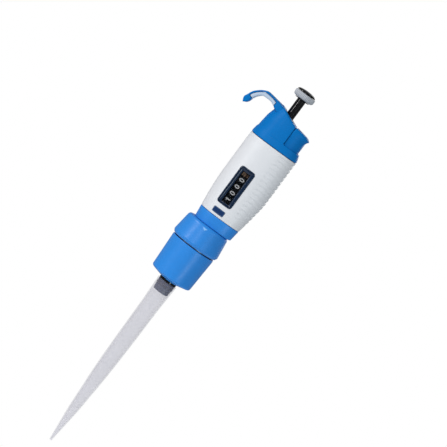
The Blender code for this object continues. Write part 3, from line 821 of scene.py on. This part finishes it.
def make_drum(name, node, body):
    """A counter drum: a wide rim on a narrow hub."""
    low, high = span(node)
    middle = (low + high) / 2
    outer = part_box(node)[1].x / MM
    bore, hub, rim, half_web = 6.5, 7.6, outer - 1.5, 0.6
    outline = rounded(
        (
            (bore, low), (hub, low), (hub, middle - half_web), (rim, middle - half_web),
            (rim, low), (outer, low, 0.25), (outer, high, 0.25), (rim, high),
            (rim, middle + half_web), (hub, middle + half_web), (hub, high), (bore, high),
        ),
        0.12,
        3,
    )
    stand_for(lathe(name + "_wheel", outline, DRUM_BLACK, 96), body, "drum_black", node)
    return outer, middle


def wrap_digit(digit, turned, outer, middle, zero_low, zero_high):
    """A digit bent round a drum; it reads along the pipette, with its top to the left."""
    zero_height = zero_high - zero_low
    scale = DIGIT_HEIGHT / zero_height
    bent = bmesh.new()
    bent.from_mesh(figure_one(zero_height) if digit == 1 else glyph(str(digit)))
    half_way = zero_height / 2 if digit == 1 else (zero_high + zero_low) / 2
    wide = [v.co.x for v in bent.verts]
    middle_x = (max(wide) + min(wide)) / 2
    for vertex in bent.verts:
        x, y, z = vertex.co
        vertex.co = ((x - middle_x) * scale, (y - half_way) * scale, z)
    cuts, spacing, lift = range(-8, 9), 0.32, 0.02
    for k in cuts:
        bmesh.ops.bisect_plane(
            bent,
            geom=bent.verts[:] + bent.edges[:] + bent.faces[:],
            plane_co=(0, spacing * k, 0),
            plane_no=(0, 1, 0),
        )
    for vertex in bent.verts:
        x, y, z = vertex.co
        turn = turned - y / outer
        reach = outer + lift + DIGIT_RELIEF * z
        vertex.co = (reach * math.cos(turn) * MM, reach * math.sin(turn) * MM, at(middle + x))
    mesh = bpy.data.meshes.new("digit")
    bent.to_mesh(mesh)
    bent.free()
    return mesh


def make_counter():
    """The four drums with their digits."""
    tall = [v.co.y for v in glyph("0").vertices]
    for name, digits, shown in DRUMS:
        body = name + "_drum"
        outer, middle = make_drum(name, "drum_" + name, body)
        joined = bmesh.new()
        for digit in digits:
            turned = -RIGHT_ANGLE + (shown - digit) * DIGIT_STEP
            joined.from_mesh(wrap_digit(digit, turned, outer, middle, min(tall), max(tall)))
        mesh = bpy.data.meshes.new("digits")
        joined.to_mesh(mesh)
        joined.free()
        stand_for(finished(name + "_digits", mesh, DIGIT_WHITE, 30), body, None)


# ---------------------------------------------------------------- cap, hook, ejector button

CAP_LIP = 320.9
CAP_TOP = 342.8
CAP_SLOPE = 0.4
BUTTON_FRONT = 10.5
BUTTON_HALF_WIDTH = 15.0
BUTTON_BACK = 24.4
# Stations from the hook's root to its tip: (x, height) outside, the same inside, half width.
HOOK = (
    ((-6.0, 344.4), (-8.0, 338.5), 11.5),
    ((-12.0, 347.0), (-13.5, 340.2), 12.0),
    ((-16.5, 347.6), (-17.0, 342.2), 11.8),
    ((-21.0, 348.3), (-21.0, 343.6), 11.3),
    ((-26.5, 348.9), (-26.5, 343.6), 10.8),
    ((-30.5, 347.5), (-28.9, 342.9), 10.4),
    ((-34.4, 344.6), (-31.2, 341.0), 10.0),
    ((-37.6, 341.2), (-33.2, 338.4), 9.6),
    ((-39.7, 336.6), (-34.5, 335.4), 9.2),
    ((-41.0, 333.6), (-35.4, 332.6), 8.8),
    ((-39.5, 329.3), (-36.9, 330.6), 8.2),
)
# The pad lies between these stations, under a skin with this share of the thickness.
PAD_FIRST, PAD_LAST = 1.65, 7.8
SKIN_SHARE = 0.30
order = range(len(HOOK))
hook_columns = [
    monotone(order, [pick(station) for station in HOOK])
    for pick in (
        lambda s: s[0][0],
        lambda s: s[0][1],
        lambda s: s[1][0],
        lambda s: s[1][1],
        lambda s: s[2],
    )
]


def blade(name, stations, look):
    """A blade along the hook; each station is (position, near share, far share)."""
    chamfer = 0.8
    rings = []
    for position, near, far in stations:
        ox, oh, ix, ih, width = (column(position) for column in hook_columns)
        thick = math.dist((ox, oh), (ix, ih))
        edge = min(chamfer / thick, 0.35 * (far - near))
        corners = (
            (near + edge, width), (near, width - chamfer), (near, chamfer - width),
            (near + edge, -width), (far - edge, -width), (far, chamfer - width),
            (far, width - chamfer), (far - edge, width),
        )
        rings.append([(ox + (ix - ox) * s, y, oh + (ih - oh) * s) for s, y in corners])
    return loft(name, rings, look)


def sweep(first, last, near, far, step=0.2):
    """Evenly spaced stations for a blade."""
    count = max(2, int(round((last - first) / step)))
    return [(first + (last - first) * k / count, near, far) for k in range(count + 1)]


def make_cap():
    """The blue cap with its finger hook, hollow, with a bay for the ejector button."""
    bottom, wall, web_x = 313.9, 1.5, 7.6
    boss_radius, bore_radius, top = 8.4, 6.5, 360
    # (height, how far the outline is drawn in, slope)
    levels = (
        (bottom, 0.45, 0), (bottom + 0.5, 0, 0), (317, 0, 0), (CAP_LIP - 0.2, 0, 0),
        (CAP_LIP + 0.35, 0.5, 0), (324, 0.4, 0.05), (328, 0.2, 0.1), (331, 0, 0.15),
        (335, 0, 0.23), (338, 0, 0.3), (CAP_TOP - 1, 0, CAP_SLOPE), (CAP_TOP, 1.2, CAP_SLOPE),
    )
    cap = loft("cap", [grip_ring(h, inset, slope) for h, inset, slope in levels], DEEP_BLUE)
    mouth = [(x, y, bottom - 3) for x, y, _ in grip_ring(bottom, wall)]
    lower = loft(
        "lower_hollow",
        [mouth, grip_ring(bottom + 0.1, wall), grip_ring(CAP_LIP + 0.4, wall)],
        DEEP_BLUE,
    )
    upper = loft(
        "upper_hollow",
        [grip_ring(CAP_LIP - 2, wall + 0.6), grip_ring(CAP_TOP - 3.5, wall + 2.0, CAP_SLOPE)],
        DEEP_BLUE,
    )
    combine(upper, "DIFFERENCE", block("web", (web_x, -30, CAP_LIP - 9), (60, 30, top)))
    combine(cap, "DIFFERENCE", lower, upper)
    skin = [
        *sweep(0, PAD_FIRST, 0, 1),
        *sweep(PAD_FIRST + 0.04, PAD_LAST - 0.04, 0, SKIN_SHARE),
        *sweep(PAD_LAST, len(HOOK) - 1, 0, 1),
    ]
    boss = [
        [
            (boss_radius * math.cos(t), boss_radius * math.sin(t),
             h - slope * boss_radius * math.cos(t))
            for t in angles(64)
        ]
        for h, slope in ((CAP_LIP + 4, 0), (CAP_TOP - 1.6, CAP_SLOPE))
    ]
    combine(cap, "UNION", blade("hook", skin, DEEP_BLUE), loft("boss", boss, DEEP_BLUE))
    bay = block("bay", (BUTTON_FRONT - GAP, -30, CAP_LIP), (60, 30, top))
    combine(cap, "DIFFERENCE", bay, cylinder("bore", bore_radius, 310, 356, DEEP_BLUE, 64))
    melt(cap, 0.42, 5)
    stand_for(cap, "handle", "deep_blue_plastic", "top_cap")


def make_finger_pad():
    """The pale pad under the hook."""
    clearance, skin_clearance = 0.12, 0.045
    pad = blade(
        "finger_pad",
        sweep(PAD_FIRST + clearance, PAD_LAST - clearance, SKIN_SHARE + skin_clearance, 1.0),
        PALE,
    )
    melt(pad, 0.36, 4)
    stand_for(pad, "handle", "pale_pad", "hook_pad")


def make_rod_bush():
    """The black bush round the rod, its rim following the slope of the cap."""
    low, _ = span("rod_guide_bush")
    # (radius, how far the rim stands over the cap; None is the bush's foot)
    profile = ((4.2, 0.25), (4.35, 0.4), (6.0, 0.4), (6.2, 0.25), (6.2, None), (4.2, None))
    rings = []
    for radius, lift in profile:
        ring = []
        for t in angles(64):
            x = radius * math.cos(t)
            h = low if lift is None else CAP_TOP - CAP_SLOPE * x + lift
            ring.append((x, radius * math.sin(t), h))
        rings.append(ring)
    bush = loft("rod_bush", rings, GLOSS_BLACK, closed=True)
    stand_for(bush, "handle", "black_gloss", "rod_guide_bush")


def button_ring(height, back, inset=0.0, slope=0.0, sides=90):
    """The ejector button's outline: flat in front, and the grip's curve towards the palm."""
    power = 2 / PALM_SQUARENESS
    front, back, half = BUTTON_FRONT + inset, back - inset, BUTTON_HALF_WIDTH - inset
    widest = math.acos((front / back) ** (1 / power))
    ring = []
    for k in range(sides + 1):
        turn = widest * (2 * k / sides - 1)
        x = back * math.cos(turn) ** power
        y = half * math.copysign(abs(math.sin(turn)) ** power, turn)
        ring.append((x, y, height - slope * (x - front)))
    return ring


def make_button():
    """The ejector button, with the ledge for the thumb."""
    low, _ = span("ejector_button")
    ledge = 331.4
    rings = [
        button_ring(low, BUTTON_BACK), button_ring(ledge, BUTTON_BACK), button_ring(333.4, 25.4),
        button_ring(335.0, 26.3, 0, 0.06), button_ring(336.6, 26.3, 0.2, 0.11),
        button_ring(338.6, 24.6, 0.8, 0.16),
    ]
    button = loft("eject_button", rings, DEEP_BLUE)
    melt(button, 0.42, 4)
    stand_for(button, "ejector", "deep_blue_plastic", "ejector_button")


# ---------------------------------------------------------------- plunger knob


def make_rod():
    """The operating rod, with its wide foot inside the grip, and the disc under the knob."""
    low, high = span("operating_rod")
    foot, radius, step = 7.0, 4.0, 242.8
    rod = rounded(
        ((0, low), (foot, low), (foot, step), (radius, step, 0.2), (radius, high), (0, high)),
        0.3,
    )
    stand_for(lathe("plunger_rod", rod, GLOSS_BLACK, 96), "knob", "black_gloss", "operating_rod")
    low, high = span("knob_base")
    base = rounded(((4.3, low), (6.5, low, 0.3), (6.9, high, 0.15), (4.3, high)), 0.1)
    stand_for(lathe("knob_disc", base, GLOSS_BLACK, 96), "knob", "black_gloss", "knob_base")


def make_knob_ring():
    """The grey ring of the knob, with flutes round its side."""
    low, _ = span("knob_ring")
    side_low, side_high, top, seat = 361.0, 365.2, 365.7, 363.3
    radius, flutes, depth = 9.65, 44, 0.34
    outline = rounded(
        (
            (4.3, low), (7.6, low, 0.4), (8.9, side_low, 0.6), (radius, side_low + 1.2, 0.9),
            (radius, side_high, 0.4), (9.3, top, 0.2), (6.0, top, 0.1), (6.0, seat, 0.1),
            (4.3, seat),
        ),
        0.15,
        5,
    )

    def fluted(r, h, turn):
        above = ramp(side_low, side_low + 0.9, h)
        below = 1 - ramp(top - 0.6, top - 0.1, h)
        share = ramp(8.3, 9.2, r) * above * below
        return r - depth * share * (0.5 + 0.5 * math.cos(flutes * turn)) ** 2

    ring = lathe("knob_grip", outline, KNOB_GREY, flutes * 8, shape=fluted, angle=50)
    stand_for(ring, "knob", "knob_grey", "knob_ring")


def make_knob_button():
    """The black domed button over the ring."""
    low, high = span("knob_cap")
    cap = rounded(
        (
            (0, low), (5.7, low), (5.7, 366.0, 0.1), (8.9, 366.0, 0.15), (8.7, 367.0, 0.5),
            (7.5, 367.8, 1.0), (5.0, 368.3, 1.6), (2.4, 368.55, 1.2), (0, high, 0),
        ),
        0.2,
        5,
    )
    stand_for(lathe("knob_button", cap, GLOSS_BLACK, 96), "knob", "black_gloss", "knob_cap")


# ---------------------------------------------------------------- springs


# name, node, coil radius, wire radius, turns, joint, length kept, place, room above it
SPRINGS = (
    ("return_spring", "main_spring", 6.6, 0.5, 5, "plunger_stroke", 0.29, (0, 0), 1.35),
    ("second_spring", "blow_out_spring", 10.4, 0.6, 2.5, "blow_out", 0.70, (0, 0), 0),
    ("eject_spring", "ejector_spring", 2.6, 0.35, 8, "eject", 0.45, (EJECTOR_ROD_X, 0), 0),
)


def make_spring(name, node, radius, wire, turns, joint, keep, place, room):
    """A compression spring with room left above it; its joint and the length kept are not used."""
    low, high = span(node)
    steps, around = 28, 12
    foot, top = low + wire, high - room - wire
    count = int(turns * steps)
    rings = []
    for i in range(count + 1):
        share = i / count
        turn = 2 * math.pi * turns * share
        ring = []
        for t in angles(around):
            reach = radius + wire * math.cos(t)
            h = foot + (top - foot) * share + wire * math.sin(t)
            ring.append(
                (place[0] + reach * math.cos(turn), place[1] + reach * math.sin(turn), h)
            )
        rings.append(ring)
    spring = loft(name, rings, STEEL, angle=60)
    stand_for(spring, "handle", "steel", node)
    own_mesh(spring)


# ---------------------------------------------------------------- hidden CAD nodes' finishes

HIDDEN = {
    STEEL: (
        "piston_rod", "retaining_clip", "blow_out_washer", "ejector_rod", "drum_shaft",
        "pinion_shaft", "volume_stop_nut",
    ),
    BRASS: ("counter_drive_gear", "threaded_bush", "calibration_screw"),
    DARK_GREY: ("spring_seat", "counter_cage", "ejector_guide"),
    INNER_WHITE: (
        "nozzle_filter", "piston_head", "carry_pinion_1", "carry_pinion_2", "carry_pinion_3",
    ),
    RUBBER: ("piston_seal",),
}


def finish_hidden_nodes():
    """Gives the CAD nodes that stay as they are their materials."""
    for look, names in HIDDEN.items():
        for name in names:
            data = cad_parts[name].data
            data.materials.clear()
            data.materials.append(look)


finish_hidden_nodes()
make_tip()
make_nozzle()
make_sleeve()
make_cylinder()
make_carrier()
make_retaining_ring()
make_ring_mark()
make_base_collar()
make_handle()
make_bezel()
make_pane()
make_cover()
make_counter()
make_cap()
make_finger_pad()
make_rod_bush()
make_button()
make_rod()
make_knob_ring()
make_knob_button()
for spring in SPRINGS:
    make_spring(*spring)

# ---------------------------------------------------------------- floor, light, camera


def make_floor():
    """A pale disc under the tip, out of the camera's view."""
    radius, low, high = 430, -136, -117
    outline = ((0, low), (radius, low), (radius, high, 4), (0, high, 0))
    floor = lathe("floor", rounded(outline, 2), FLOOR, 128)


# name, place, size, watts, colour, what it shines at (metres)
BODY, KNOB = (0, 0, -0.12), (0, 0, 0)
LIGHTS = (
    ("key", (-1.4, -0.85, 0.75), (0.6, 0.7), 14.5, (1.0, 0.99, 0.98), BODY),
    ("rod_strip", (-1.2, -1.1, 0.06), (0.14, 0.3), 4, (1.0, 1.0, 1.0), KNOB),
    ("front", (-0.35, -1.9, 0.55), (0.45, 0.8), 8.5, (1.0, 1.0, 1.0), BODY),
    ("fill", (1.4, -1.1, 0.75), (0.6, 0.5), 2.5, (0.97, 0.98, 1.0), BODY),
    ("low_fill", (1.25, -1.4, -0.36), (0.4, 0.45), 6, (0.82, 0.96, 1.0), BODY),
    ("back", (0.5, 1.6, 0.35), (1.0, 1.0), 6, (1.0, 1.0, 1.0), BODY),
)


def area_light(name, place, size, watts, colour, target):
    """A rectangular light that shines from a place at a target."""
    lamp = bpy.data.lights.new(name, "AREA")
    lamp.shape = "RECTANGLE"
    lamp.size, lamp.size_y = size
    lamp.energy = watts
    lamp.color = colour
    thing = bpy.data.objects.new(name, lamp)
    thing.location = place
    aim = Vector(target) - Vector(place)
    thing.rotation_mode = "QUATERNION"
    thing.rotation_quaternion = aim.to_track_quat("-Z", "Y")
    bpy.context.scene.collection.objects.link(thing)


def make_world():
    """White behind the object, and a dimmer even light on it."""
    world = bpy.data.worlds.new("studio")
    bpy.context.scene.world = world
    world.use_nodes = True
    nodes, links = world.node_tree.nodes, world.node_tree.links
    seen, lighting = nodes["Background"], nodes.new("ShaderNodeBackground")
    seen.inputs["Color"].default_value = (1, 1, 1, 1)
    seen.inputs["Strength"].default_value = 1.0
    lighting.inputs["Color"].default_value = (0.96, 0.98, 1.0, 1)
    lighting.inputs["Strength"].default_value = 0.30
    path, mix = nodes.new("ShaderNodeLightPath"), nodes.new("ShaderNodeMixShader")
    links.new(path.outputs["Is Camera Ray"], mix.inputs["Fac"])
    links.new(lighting.outputs["Background"], mix.inputs[1])
    links.new(seen.outputs["Background"], mix.inputs[2])
    links.new(mix.outputs["Shader"], nodes["World Output"].inputs["Surface"])


# The camera: where it stands (mm), and how it is turned (radians).
CAMERA = (102.12, -2200.0, 60.0)
YAW, PITCH, ROLL = -0.0424, -0.0757, 0.6381
FOCAL_PIXELS, FRAME_PIXELS, SENSOR = 2611.06, 447, 36.0


def make_camera():
    """The camera at the photograph's viewing angle."""
    ahead = Vector(
        (math.sin(YAW) * math.cos(PITCH), math.cos(YAW) * math.cos(PITCH), math.sin(PITCH))
    )
    right = Vector((math.cos(YAW), -math.sin(YAW), 0))
    up = right.cross(ahead)
    across = right * math.cos(ROLL) + up * math.sin(ROLL)
    upright = up * math.cos(ROLL) - right * math.sin(ROLL)
    data = bpy.data.cameras.new("camera")
    data.sensor_width = SENSOR
    data.lens = FOCAL_PIXELS / FRAME_PIXELS * SENSOR
    data.clip_start, data.clip_end = 0.05, 20
    camera = bpy.data.objects.new("camera", data)
    turn = Matrix((across, upright, -ahead)).transposed()
    camera.matrix_world = Matrix.Translation(Vector(CAMERA) * MM) @ turn.to_4x4()
    bpy.context.scene.collection.objects.link(camera)
    bpy.context.scene.camera = camera


make_floor()
for light in LIGHTS:
    area_light(*light)
make_world()
make_camera()
bpy.context.scene.view_settings.view_transform = "Standard"
